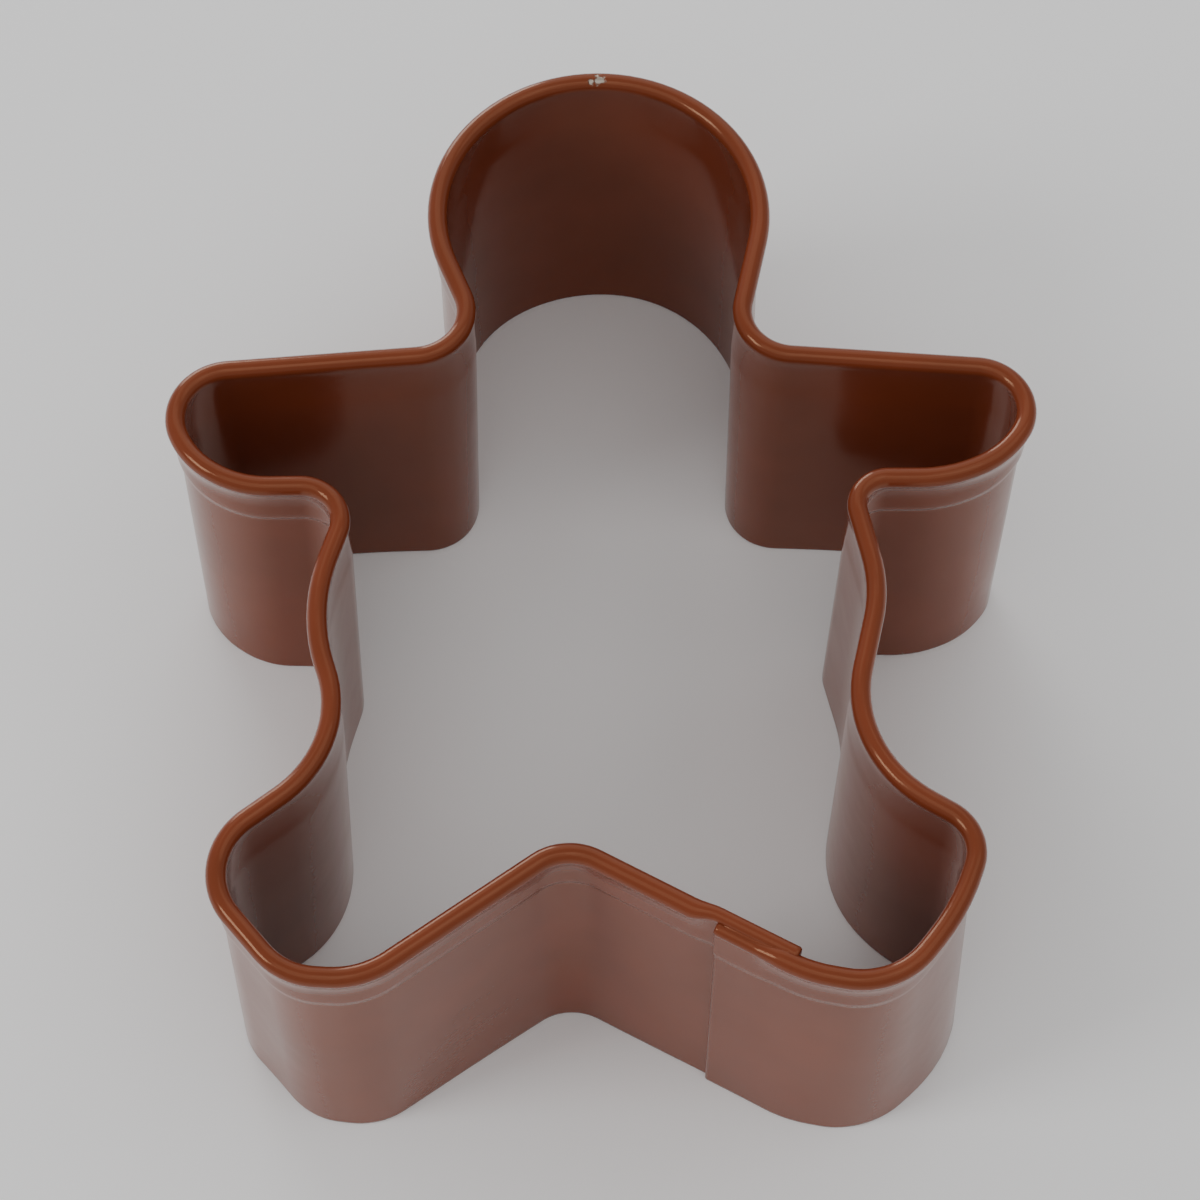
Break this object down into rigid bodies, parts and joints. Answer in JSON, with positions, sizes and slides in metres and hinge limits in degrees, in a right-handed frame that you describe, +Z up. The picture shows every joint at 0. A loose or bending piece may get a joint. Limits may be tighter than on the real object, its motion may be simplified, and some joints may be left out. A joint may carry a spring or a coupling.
{
  "type": "cookie cutter",
  "caption": "Figure-shaped dough cutter: a bent metal strip with a hemmed rim, lapped and welded ends and a glossy brown resin dip coat.",
  "frame": {"origin": "on the plane of the cutting edge, in the middle of the outline's box", "axes": "+Z up from the cutting edge to the rim, +Y to the figure's head, +X to the right as seen from above the rim"},
  "size_m": [0.0638, 0.0762, 0.029],
  "materials": {
    "tinplate": "bright tinned, covered by the resin",
    "weld_metal": "plain weld metal, covered by the resin",
    "resin": "glossy brown dip coat"
  },
  "bodies": {
    "root": {"steel_band": "tinplate", "spot_welds": "weld_metal", "resin_coating": "resin"}
  },
  "joints": []
}
